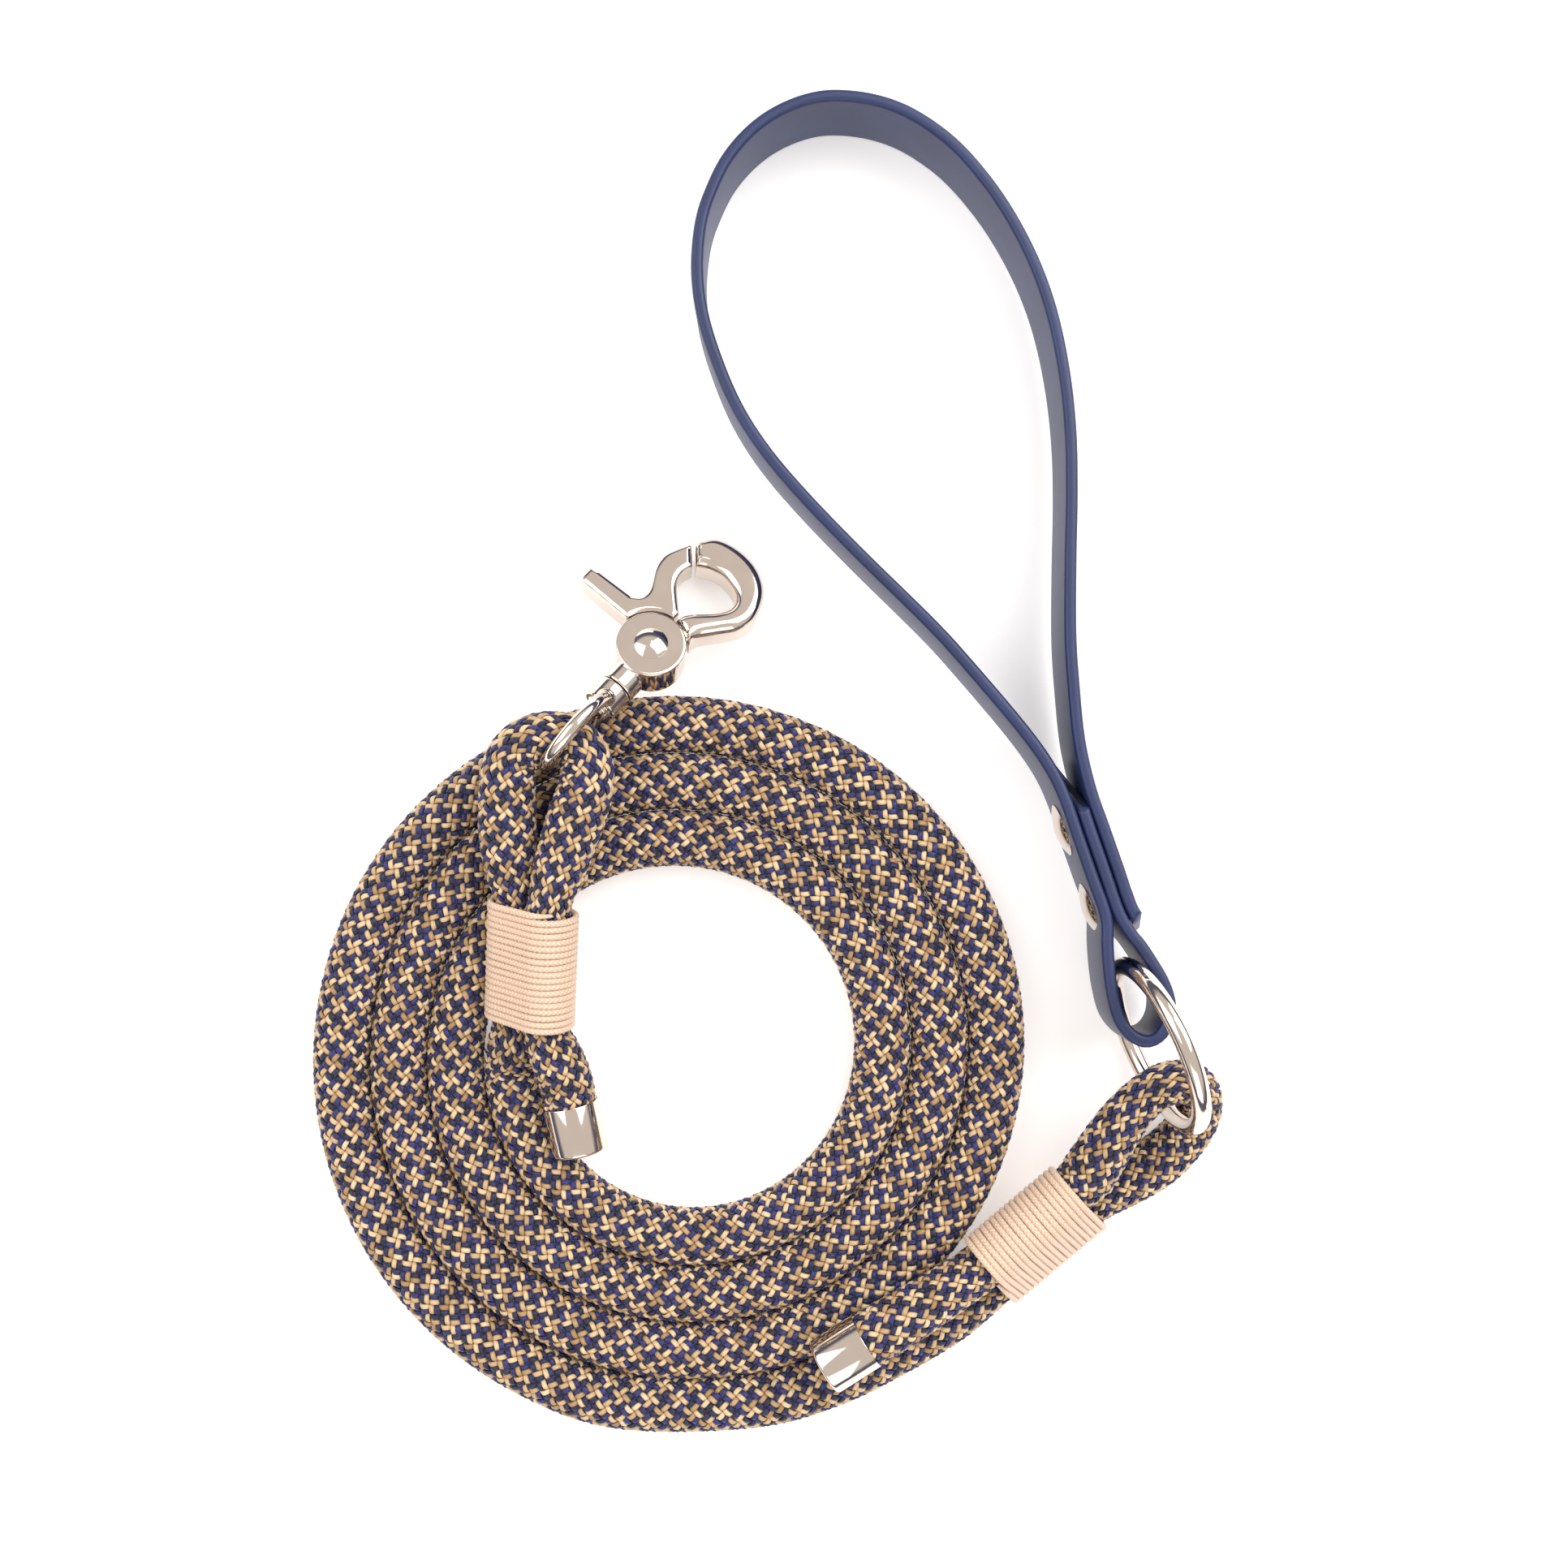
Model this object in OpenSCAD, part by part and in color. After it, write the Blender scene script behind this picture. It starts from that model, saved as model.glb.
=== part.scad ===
// Braided rope dog lead: a coiled 12 mm rope with a trigger snap whipped into one end,
// and a steel ring with a coated webbing handle whipped into the other.
// Millimetres, +Z up. The lead lies on the plane z = 0, and the origin is in the middle
// of the footprint of its hard parts: the snap, the ring and the handle.

/* [Rope] */
// Diameter of the rope under its whippings, where its own solids are measured
rope_d = 10.8; // [10:0.1:11]
// Diameter of the whipping cord
whip_cord_d = 1.3; // [1:0.1:1.6]
// Length of each whipping
whip_len = 25; // [20:1:28]
// Length of the caps on the rope's ends
end_cap_len = 10.3; // [8:0.1:12]

/* [Handle] */
// Width of the coated strap, which stands on its edge
strap_w = 19; // [16:1:19]
// Thickness of the coated strap
strap_t = 2.5; // [2:0.1:2.5]
// Thickness of the woven core inside the coating
core_t = 1.1; // [0.8:0.1:1.3]
// Diameter of the rivet caps
rivet_cap_d = 10.8; // [8:0.1:12]

/* [Ring] */
// Wire diameter of the ring
ring_wire_d = 3.8; // [3:0.1:4]
// Inner diameter of the ring
ring_inner_d = 30.4; // [30:0.1:31]

/* [Snap] */
// Diameter of the snap's round hub
hub_d = 14.3; // [14:0.1:14.6]
// Depth of the hub over both cheeks
hub_h = 8; // [7:0.1:9]
// Depth of the hook
hook_h = 7; // [6:0.1:8]
// Diameter of the rivet that the trigger turns on
trigger_rivet_d = 3.2; // [2.5:0.1:3.6]
// Diameter of the swivel post
post_d = 3.8; // [3:0.1:4]

/* [Hidden] */
$fn = 48;

// Rope: a coil of three turns, and the two ends that leave it.
rope_r = rope_d / 2;
coil_centre = [-41, -91.5];
coil_inner_r = 35;
coil_outer_r = 74;
coil_round = 5;
tube_sides = 10;

// Snap end, from its end cap over the coil, round the swivel eye and down to the coil's start.
snap_end_route = [[-58.7, -109.3, 11.8], [-59.7, -104.3, 12.2], [-60.6, -99.2, 12.9],
    [-61.7, -93.8, 14.3], [-63.7, -88.2, 16.3], [-65.2, -83.3, 17.6], [-64.4, -70.8, 20.3],
    [-63.6, -58.2, 23], [-61.1, -49.8, 23], [-58.5, -41.5, 22.6], [-56.7, -36.5, 22.2],
    [-56.1, -32, 22], [-57.2, -28, 22], [-60.1, -25.3, 22], [-64.1, -24.8, 22],
    [-67.9, -26, 22], [-70.8, -28.6, 21.7], [-72.1, -32.4, 21.2], [-72.5, -41.5, 19.8],
    [-72.2, -50, 18.7], [-70.8, -58.2, 17.4], [-71.6, -70.8, 14.7], [-72.4, -83.3, 12],
    [-73.2, -87.4, 9.6], [-73.6, -90.4, 7.2], [-73.5, -93.1, 5.9]];
// Ring end, from the coil's outer end under its whipping, round the ring and back over it.
ring_end_route = [[-23.9, -162.1, 5.8], [-7.6, -157.8, 5.8], [5.3, -151.5, 5.8],
    [16, -145.2, 5.9], [26.3, -137.4, 6.4], [36, -129.3, 6.4], [45.7, -121.2, 6.4],
    [52.5, -117.6, 5.9], [58.3, -114.2, 5.8], [63.2, -110.3, 5.8], [66.4, -106.6, 6.2],
    [68, -103.6, 7.3], [68.4, -100.4, 9.4], [67.7, -97.5, 12.1], [65.9, -95.3, 14.6],
    [63.4, -94.4, 16.3], [60.6, -94.5, 17.1], [57.4, -95.8, 17.4], [53.1, -99.6, 17.3],
    [49.3, -104.8, 16.8], [46.1, -110.4, 15.8], [42.1, -116.2, 14.6], [32.4, -124.3, 14.6],
    [22.7, -132.4, 14.6], [15.5, -137, 15.9], [7.9, -141.4, 17.2], [-0.4, -146.2, 17.7],
    [-4.6, -148.9, 17.7], [-9, -151.7, 17.7]];

// Each whipping holds two parallel runs of rope: the middle of its lower end, the middle of
// its upper end, and the step from one run to the other.
snap_whip_ends = [[-68.8, -83.3, 14.8], [-67.2, -58.2, 20.2]];
snap_whip_step = [7.2, 0, 5.6];
ring_whip_ends = [[24.5, -134.9, 10.5], [43.9, -118.7, 10.5]];
ring_whip_step = [-3.6, 5, 8.2];

// Where the rope is squeezed: under its whippings, and where it bends hard round the ring and
// the eye. Each entry has the first and the last point of the stretch, and the radius there.
snap_tight_r = norm(snap_whip_step) / 2 - 0.05;
ring_tight_r = norm(ring_whip_step) / 2 - 0.05;
bend_r = 4.5;
eye_bend_r = 4.42;
snap_end_tight = [[5, 7, snap_tight_r], [11, 16, eye_bend_r], [20, 22, snap_tight_r]];
ring_end_tight = [[4, 6, ring_tight_r], [10, 17, bend_r], [21, 23, ring_tight_r]];

// Handle: one strap, cut at both ends, that runs three layers thick through its two rivets.
// It leans a little because its end by the ring lies on the ring's wire.
handle_lean = 1.48;
handle_far_y = 104.3;
layer_pitch = strap_t + 0.2;
layer_middle = [42.6, -49.6];
layer_angle = -71;
layer_dir = [cos(layer_angle), sin(layer_angle)];
layer_side = [cos(layer_angle + 90), sin(layer_angle + 90)];
rivet_places = [-6.1, 10.8];
strap_end_a = [[38, -30.8]];
small_loop = [[51.7, -64.9], [53.4, -67], [55.6, -70.3], [58, -74.5], [59.2, -78.5],
    [58.9, -82.2], [57.2, -85], [54.7, -86.1], [52, -85.2], [49.3, -81.9], [47.9, -76.9],
    [47.2, -71.7], [47.4, -67]];
big_loop = [[35.5, -31.6], [30, -23.9], [19.7, -11.7], [12, -3.2], [-3, 11.6],
    [-14, 23.1], [-21.4, 32], [-26.8, 40.6], [-30.8, 50], [-33.6, 59.3], [-34.6, 68.4],
    [-33.8, 77.6], [-31.6, 84.4], [-28.5, 90.5], [-24.1, 95.7], [-19, 99.5], [-12.9, 102.1],
    [-6.7, 103], [1.3, 102], [8.7, 99.1], [16.4, 93.6], [22.8, 86.5], [28.1, 78.7],
    [32.9, 69.2], [36.4, 59], [38.8, 47.1], [40, 35.1], [40.2, 23], [39.9, 9.9],
    [39.8, -5], [40.4, -15.4], [41.5, -26.5]];
strap_end_b = [[54.4, -63.4], [55.8, -65.4]];
end_a_slant = 10.6;
end_b_slant = 5.3;

// Ring: it stands on its edge, leaning over, with the rope and the strap through it.
ring_wire_r = ring_wire_d / 2;
ring_r = ring_inner_d / 2 + ring_wire_r;
ring_angle = -68.5;
ring_lean = 9;
ring_place = [57.5, -87, ring_wire_r + ring_r * cos(ring_lean)];

// Snap: its own frame has the hub's middle at the origin, the hook towards +X, the trigger's
// thumb tab towards +Y and the swivel eye towards -X.
snap_hang = [-59.7, -25.5, 22];
snap_angle = 49;
snap_pitch = 20;
snap_roll = -10;
snap_reach = 25;
hub_r = hub_d / 2;
slot_h = 3;
lever_h = 2.8;
eye_x = -23.2;
eye_r = 9;
eye_wire_r = 1.45;
collar_r = 3.75;
collar_from = -11;
collar_to = -16;
post_r = post_d / 2;
swivel_gap = 0.05;
hook_outer_line = [[2, -5.4], [5.5, -5.5], [7.7, -5.7], [11.1, -8.3], [14.9, -11.2],
    [19.3, -11.9], [24.6, -9.7], [27.9, -5.4], [29, 0], [28, 5.3], [24.4, 8.5]];
hook_inner_line = [[20.2, 4.8], [21.5, 2.1], [21.8, -1.6], [20.2, -5.7], [17.6, -6.9],
    [14.6, -5.4], [9.4, -0.3], [4, -0.4]];

function unit(v) = v / norm(v);

// A smooth curve through points, with `n` steps between neighbours.
function at(p, i) = p[max(0, min(len(p) - 1, i))];
function between(a, b, c, d, t) =
    0.5 * (2 * b + (c - a) * t + (2 * a - 5 * b + 4 * c - d) * t * t
        + (3 * b - a - 3 * c + d) * t * t * t);
function smooth(p, n) =
    [for (i = [0 : len(p) - 2], k = [0 : n - 1])
        between(at(p, i - 1), p[i], p[i + 1], at(p, i + 2), k / n), p[len(p) - 1]];

// A round tube along a route, with one ring of points at each point of the route.
function heading(p, i) = unit(at(p, i + 1) - at(p, i - 1));
function ring_points(p, i, r) =
    let (ahead = heading(p, i), side = unit(cross(ahead, [0, 0, 1])), up = cross(side, ahead))
    [for (k = [0 : tube_sides - 1])
        p[i] + r * (cos(360 * k / tube_sides) * side + sin(360 * k / tube_sides) * up)];
function radius_at(i, tight) =
    let (here = [for (t = tight) if (i >= t[0] && i <= t[1]) t[2]])
    len(here) > 0 ? here[0] : rope_r;
module tube(route, tight) {
    n = tube_sides;
    last = len(route) - 1;
    points = [for (i = [0 : last]) each ring_points(route, i, radius_at(i, tight))];
    walls = [for (i = [0 : last - 1], k = [0 : n - 1])
        [i * n + k, i * n + (k + 1) % n, (i + 1) * n + (k + 1) % n, (i + 1) * n + k]];
    first_cap = [for (k = [n - 1 : -1 : 0]) k];
    last_cap = [for (k = [0 : n - 1]) last * n + k];
    polyhedron(points, concat(walls, [first_cap, last_cap]), convexity = 8);
}

// The closed outline of a band of thickness `t` along a flat path.
function side_step(p, i) =
    let (ahead = heading(p, i))
    [-ahead.y, ahead.x];
function band(p, t) =
    concat([for (i = [0 : len(p) - 1]) p[i] + t / 2 * side_step(p, i)],
        [for (i = [len(p) - 1 : -1 : 0]) p[i] - t / 2 * side_step(p, i)]);
function on_layer(s, layer) =
    layer_middle + s * layer_dir + layer * layer_pitch * layer_side;
function layer_run(from, to, layer) =
    [for (k = [0 : 3]) on_layer(from + (to - from) * k / 3, layer)];
strap_path = smooth(concat(strap_end_a, layer_run(-12.5, 12.5, 1), small_loop,
    layer_run(12.5, -12.5, 0), big_loop, layer_run(-12.5, 12.5, 2), strap_end_b), 2);

// Places +Z along the line from `a` to `b`, with the origin at `a`.
module along(a, b) {
    d = b - a;
    translate(a) rotate([0, acos(d.z / norm(d)), atan2(d.y, d.x)]) children();
}
module on_handle() {
    translate([0, handle_far_y, 0]) rotate([-handle_lean, 0, 0]) translate([0, -handle_far_y, 0])
        children();
}
module on_eye() {
    translate(snap_hang) rotate([0, snap_pitch, snap_angle]) translate([snap_reach, 0, 0])
        children();
}
module on_snap() {
    on_eye() rotate([snap_roll, 0, 0]) children();
}
module slab(h) {
    translate([0, 0, -h / 2]) linear_extrude(h) children();
}
// A cylinder along the snap's own X axis.
module x_rod(from, to, r) {
    translate([min(from, to), 0, 0]) rotate([0, 90, 0]) cylinder(r = r, h = abs(to - from));
}

module rope_coil() {
    color("#6f6277")
        translate(coil_centre)
            rotate_extrude($fn = 96)
                polygon([[coil_inner_r, 0], [coil_outer_r - coil_round, 0],
                    [coil_outer_r, coil_round], [coil_outer_r, rope_d - coil_round],
                    [coil_outer_r - coil_round, rope_d], [coil_inner_r, rope_d]]);
}
module rope_snap_end() {
    color("#6f6277") tube(snap_end_route, snap_end_tight);
}
module rope_ring_end() {
    color("#6f6277") tube(ring_end_route, ring_end_tight);
}

// A sleeve of whipping cord round two runs of rope that lie side by side.
module whipping(ends, step, tight_r) {
    half = norm(step) / 2;
    outer_r = tight_r + whip_cord_d;
    axis = unit(ends[1] - ends[0]);
    pitch = acos(axis.z);
    turn = atan2(axis.y, axis.x);
    // The direction of the step in the sleeve's own frame.
    flat_x = step * [cos(pitch) * cos(turn), cos(pitch) * sin(turn), -sin(pitch)];
    flat_y = step * [-sin(turn), cos(turn), 0];
    along(ends[0], ends[1])
        rotate([0, 0, atan2(flat_y, flat_x)])
            linear_extrude(whip_len) difference() {
                union() {
                    translate([half, 0]) circle(outer_r);
                    translate([-half, 0]) circle(outer_r);
                    square([2 * half, 2 * outer_r], center = true);
                }
                translate([half, 0]) circle(tight_r);
                translate([-half, 0]) circle(tight_r);
            }
}
module snap_whipping() {
    color("#d9b9a4") whipping(snap_whip_ends, snap_whip_step, snap_tight_r);
}
module ring_whipping() {
    color("#d9b9a4") whipping(ring_whip_ends, ring_whip_step, ring_tight_r);
}

// A thin cup on the cut end of the rope; its closed end is at `tip`.
cap_wall = 0.35;
module end_cap(tip, inner) {
    out = unit(tip - inner);
    along(tip + cap_wall * out, inner) difference() {
        cylinder(r = rope_r + cap_wall, h = end_cap_len);
        translate([0, 0, cap_wall]) cylinder(r = rope_r, h = end_cap_len);
    }
}
module snap_end_cap() {
    color("#3a3a40") end_cap(snap_end_route[0], snap_end_route[1]);
}
module ring_end_cap() {
    last = len(ring_end_route) - 1;
    color("#3a3a40") end_cap(ring_end_route[last], ring_end_route[last - 1]);
}

// The eye that the rope runs through. Its collar turns on the swivel post.
module swivel_eye() {
    color("#c9c5bd")
        on_eye() difference() {
            union() {
                translate([eye_x, 0, 0]) rotate([90, 0, 0])
                    rotate_extrude() translate([eye_r, 0]) circle(eye_wire_r, $fn = 24);
                x_rod(collar_from, collar_to, collar_r);
            }
            x_rod(collar_from + 1, collar_to - 1, post_r + swivel_gap);
        }
}
module swivel_post() {
    color("#b9b5ad")
        on_snap() {
            x_rod(collar_to - 0.1, -6.4, post_r);
            x_rod(collar_to - 0.1, collar_to - 1.7, post_r + 0.5);
        }
}

module hook_outline() {
    polygon(concat(smooth(hook_outer_line, 4), smooth(hook_inner_line, 4)));
}
module snap_body() {
    color("#d2cec6")
        on_snap() difference() {
            union() {
                slab(hub_h) circle(hub_r);
                slab(hook_h) hook_outline();
                x_rod(-4, collar_from + 0.2, collar_r);
            }
            slab(slot_h) circle(hub_r - 0.5);
            slab(slot_h) polygon([[0, 0], [14, 0], [14, 14], [-14, 14]]);
            slab(hub_h + 1) circle(trigger_rivet_d / 2);
            x_rod(-6.4, collar_from - 1, post_r);
        }
}

// The trigger: a thumb tab and the gate that closes the hook, on one disc in the hub's slot.
module lever_outline() {
    polygon([[0, 0], [5, 0.4], [9.4, 0.4], [14, 4.8], [16.7, 5.9], [19.6, 5.3], [23.6, 8.7],
        [21.3, 10], [17.9, 11.2], [14.3, 10.7], [9.9, 8.5], [7.5, 8.6], [6.1, 10.3],
        [6.1, 18.8], [5.7, 20.8], [3.1, 20.8], [2, 20.2], [1.5, 8.2]]);
}
module trigger_lever() {
    color("#cbc7bf")
        on_snap() difference() {
            union() {
                slab(lever_h) circle(hub_r - 0.9);
                slab(lever_h) lever_outline();
                difference() {
                    slab(hook_h - 0.4) lever_outline();
                    slab(hub_h) circle(hub_r + 0.3);
                }
            }
            slab(hub_h) circle(trigger_rivet_d / 2 + swivel_gap);
            translate([0, 0, -lever_h / 2 - 1]) cylinder(r = 4.4, h = 2.3);
        }
}
module trigger_rivet() {
    color("#dedad2")
        on_snap() {
            slab(hub_h) circle(trigger_rivet_d / 2);
            for (up = [0, 1]) mirror([0, 0, up]) translate([0, 0, hub_h / 2]) intersection() {
                translate([0, 0, -4.9]) sphere(r = 6);
                cylinder(r = 3.4, h = 2);
            }
        }
}
// Two turns of spring wire in the pocket under the lever's disc.
module trigger_spring() {
    wire_r = 0.25;
    color("#8c8c90")
        on_snap() for (k = [0, 1]) translate([0, 0, -1.1 + 0.49 * k])
            rotate_extrude() translate([2.6, 0]) circle(wire_r, $fn = 16);
}

module o_ring() {
    color("#c9c5bd")
        translate(ring_place) rotate([90 - ring_lean, 0, ring_angle])
            rotate_extrude($fn = 96) translate([ring_r, 0]) circle(ring_wire_r, $fn = 32);
}

// A wedge that cuts an end of the strap on a slant, from the top edge down to the bottom edge.
module slant_cut(tip, inner, slant) {
    out = unit(tip - inner);
    translate([tip.x, tip.y, 0]) rotate([0, 0, atan2(out.y, out.x)]) rotate([90, 0, 0])
        translate([0, 0, -1.35])
            linear_extrude(2.7)
                polygon([[0, -0.1], [-slant, strap_w], [-slant, strap_w + 1], [2, strap_w + 1],
                    [2, -0.1]]);
}
module cut_ends() {
    last = len(strap_path) - 1;
    slant_cut(strap_path[0], strap_path[2], end_a_slant);
    slant_cut(strap_path[last], strap_path[last - 1], end_b_slant);
}
module at_rivets() {
    for (s = rivet_places) translate([each on_layer(s, 1), strap_w / 2])
        rotate([0, 90, layer_angle + 90]) children();
}
stack = 2 * layer_pitch + strap_t;
rivet_r = 1.5;
module rivet_holes() {
    at_rivets() translate([0, 0, -stack]) cylinder(r = rivet_r, h = 2 * stack);
}
module handle_strap() {
    color("#27408b")
        on_handle() difference() {
            linear_extrude(strap_w) polygon(band(strap_path, strap_t));
            translate([0, 0, 1.2]) linear_extrude(strap_w - 2.4) polygon(band(strap_path, core_t));
            cut_ends();
            rivet_holes();
        }
}
module strap_core() {
    color("#15151a")
        on_handle() difference() {
            translate([0, 0, 1.2]) linear_extrude(strap_w - 2.4) polygon(band(strap_path, core_t));
            cut_ends();
            rivet_holes();
        }
}
// Each rivet is a post with its own flat head, and a domed cap pressed over its other end.
module rivet_posts() {
    color("#c9c5bd")
        on_handle() at_rivets() {
            translate([0, 0, -stack / 2 - 0.6]) cylinder(r = rivet_r, h = stack + 0.6);
            translate([0, 0, stack / 2]) cylinder(r = rivet_cap_d / 2 - 0.4, h = 0.6);
        }
}
module rivet_caps() {
    color("#d2cec6")
        on_handle() at_rivets() translate([0, 0, -stack / 2]) mirror([0, 0, 1]) difference() {
            intersection() {
                translate([0, 0, -9.6]) sphere(r = 11.2, $fn = 96);
                cylinder(r = rivet_cap_d / 2, h = 3);
            }
            translate([0, 0, -1]) cylinder(r = rivet_r, h = 1.6);
        }
}

rope_coil();
rope_snap_end();
rope_ring_end();
snap_whipping();
ring_whipping();
snap_end_cap();
ring_end_cap();
swivel_eye();
swivel_post();
snap_body();
trigger_lever();
trigger_rivet();
trigger_spring();
o_ring();
handle_strap();
strap_core();
rivet_posts();
rivet_caps();
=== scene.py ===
# %% [markdown]
# # A braided rope dog lead, modelled over its own CAD frame
# The lead is one length of thick braided rope, coiled flat. A trigger snap is whipped into one
# end, and a steel ring with a coated strap handle into the other. Everything is in metres, in
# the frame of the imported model, so each piece is made where the CAD says that it is.
# %% Load the frame
import math

import bmesh
import bpy
import numpy as np
from mathutils import Matrix, Vector


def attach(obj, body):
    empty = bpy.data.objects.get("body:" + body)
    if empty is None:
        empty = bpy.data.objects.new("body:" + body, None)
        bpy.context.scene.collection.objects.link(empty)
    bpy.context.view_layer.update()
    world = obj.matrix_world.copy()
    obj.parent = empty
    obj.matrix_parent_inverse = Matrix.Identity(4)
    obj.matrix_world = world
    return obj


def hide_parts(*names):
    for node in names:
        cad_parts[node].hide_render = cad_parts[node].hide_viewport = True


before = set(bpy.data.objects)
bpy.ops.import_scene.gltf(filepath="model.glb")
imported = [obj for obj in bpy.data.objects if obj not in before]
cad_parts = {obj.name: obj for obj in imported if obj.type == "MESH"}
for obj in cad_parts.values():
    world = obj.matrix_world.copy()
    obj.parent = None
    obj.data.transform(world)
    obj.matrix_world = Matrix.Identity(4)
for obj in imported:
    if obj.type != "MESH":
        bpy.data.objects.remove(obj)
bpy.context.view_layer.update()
MM = 0.001

# %% [markdown]
# ## The camera
# The lead is seen from straight above, close enough for the loop of the handle to lean
# outwards in perspective. The camera hangs 380 mm over the floor.
# %% Camera
camera_data = bpy.data.cameras.new("camera_over_lead")
camera_data.lens = 41.4
camera_data.sensor_width = 36
camera_data.clip_start = 0.01
camera = bpy.data.objects.new("camera_over_lead", camera_data)
bpy.context.scene.collection.objects.link(camera)
camera.location = (-0.0172, -0.0346, 0.380)
bpy.context.scene.camera = camera
print("camera height in mm:", round(camera.location.z / MM))

# %% [markdown]
# ## The rope's route
# The rope is one cord from its first cap to its last. It goes up through its whipping and the
# snap's eye, back down through the whipping, three times round the coil, through the other
# whipping and round the ring, and back. The two ends are listed points, and the coil is a
# spiral whose turns lie 11.8 mm apart. A smooth line through all of them is then cut into even
# steps of 1 mm.
# %% The route
SNAP_END_MM = [
    (-58.7, -109.3, 11.8), (-59.7, -104.3, 12.2), (-60.6, -99.2, 12.9), (-61.7, -93.8, 14.3),
    (-63.7, -88.2, 16.3), (-65.2, -83.3, 17.6), (-64.4, -70.8, 20.3), (-63.6, -58.2, 23),
    (-61.1, -49.8, 23), (-58.5, -41.5, 22.6), (-56.7, -36.5, 22.2), (-56.1, -32, 22),
    (-57.2, -28, 22), (-60.1, -25.3, 22), (-64.1, -24.8, 22), (-67.9, -26, 22),
    (-70.8, -28.6, 21.7), (-72.1, -32.4, 21.2), (-72.5, -41.5, 19.8), (-72.2, -50, 18.7),
    (-70.8, -58.2, 17.4), (-71.6, -70.8, 14.7), (-72.4, -83.3, 12), (-73.2, -87.4, 9.6),
    (-73.6, -90.4, 7.2), (-73.5, -93.1, 5.9)]
RING_END_MM = [
    (-23.9, -162.1, 5.8), (-7.6, -157.8, 5.8), (5.3, -151.5, 5.8), (16, -145.2, 5.9),
    (26.3, -137.4, 6.4), (36, -129.3, 6.4), (45.7, -121.2, 6.4), (52.5, -117.6, 5.9),
    (58.3, -114.2, 5.8), (63.2, -110.3, 5.8), (66.4, -106.6, 6.2), (68, -103.6, 7.3),
    (68.4, -100.4, 9.4), (67.7, -97.5, 12.1), (65.9, -95.3, 14.6), (63.4, -94.4, 16.3),
    (60.6, -94.5, 17.1), (57.4, -95.8, 17.4), (53.1, -99.6, 17.3), (49.3, -104.8, 16.8),
    (46.1, -110.4, 15.8), (42.1, -116.2, 14.6), (32.4, -124.3, 14.6), (22.7, -132.4, 14.6),
    (15.5, -137, 15.9), (7.9, -141.4, 17.2), (-0.4, -146.2, 17.7), (-4.6, -148.9, 17.7),
    (-9, -151.7, 17.7)]
COIL_CENTRE_MM = (-38.1, -90.0, 5.8)
# How far out the spiral would be, were it carried back to 0 degrees.
COIL_START_MM = 29.5
TURN_GAP_MM = 11.8
COIL_DEGREES = range(200, 1345, 15)


def coil_point(degrees):
    reach = COIL_START_MM + TURN_GAP_MM * degrees / 360
    angle = math.radians(degrees)
    x, y, z = COIL_CENTRE_MM
    return (x + reach * math.cos(angle), y + reach * math.sin(angle), z)


coil_mm = [coil_point(degrees) for degrees in COIL_DEGREES]


def smooth_line(points, steps):
    """A smooth curve through the points, with that many steps between neighbours."""
    p = np.array(points, float)
    before = np.vstack([2 * p[0] - p[1], p[:-2]])
    after = np.vstack([p[2:], 2 * p[-1] - p[-2]])
    a, b, c, d = before, p[:-1], p[1:], after
    t = (np.arange(steps) / steps)[None, :, None]
    a, b, c, d = (x[:, None, :] for x in (a, b, c, d))
    line = 0.5 * (2 * b + (c - a) * t + (2 * a - 5 * b + 4 * c - d) * t ** 2
                  + (3 * b - a - 3 * c + d) * t ** 3)
    return np.vstack([line.reshape(-1, p.shape[1]), p[-1:]])


def lengths_along(line):
    return np.concatenate([[0], np.cumsum(np.linalg.norm(np.diff(line, axis=0), axis=1))])


def even_steps(line, gap):
    """The same line with points an even gap apart."""
    along = lengths_along(line)
    stops = np.linspace(0, along[-1], round(along[-1] / gap) + 1)
    return np.stack([np.interp(stops, along, line[:, k]) for k in range(line.shape[1])], 1)


def relax(values, passes):
    """Each value but the first and last drawn towards its neighbours, that many times."""
    for _ in range(passes):
        values[1:-1] = (values[:-2] + 2 * values[1:-1] + values[2:]) / 4


ROUTE_STEPS = 10
rope_line = smooth_line(SNAP_END_MM + coil_mm + RING_END_MM, ROUTE_STEPS)
stations = lengths_along(rope_line)[::ROUTE_STEPS]
rope_line = even_steps(rope_line, 1)
relax(rope_line, 8)
rope_along = lengths_along(rope_line)
ROPE_LENGTH_MM = rope_along[-1]
print("rope length in mm:", round(ROPE_LENGTH_MM))

# %% [markdown]
# ## How thick the rope is along its length
# The rope is 11.6 mm thick where it lies free, and 11.9 mm over the crowns of its strands,
# which is what the radius here counts. It is squeezed under its whippings, where it bends hard
# round the ring and the eye, and in its end caps. The list gives places along the rope and its
# radius there, and the values between are blended.
# %% The rope's radius
ROPE_R_MM = 5.95
CAPPED_R_MM = 5.1
SNAP_WHIPPED_R_MM = 4.4
EYE_BEND_R_MM = 5.0
RING_WHIPPED_R_MM = 5.0
ring_start = len(SNAP_END_MM) + len(coil_mm)


def at_snap(i):
    return stations[i]


def at_ring(i):
    return stations[ring_start + i]


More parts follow.
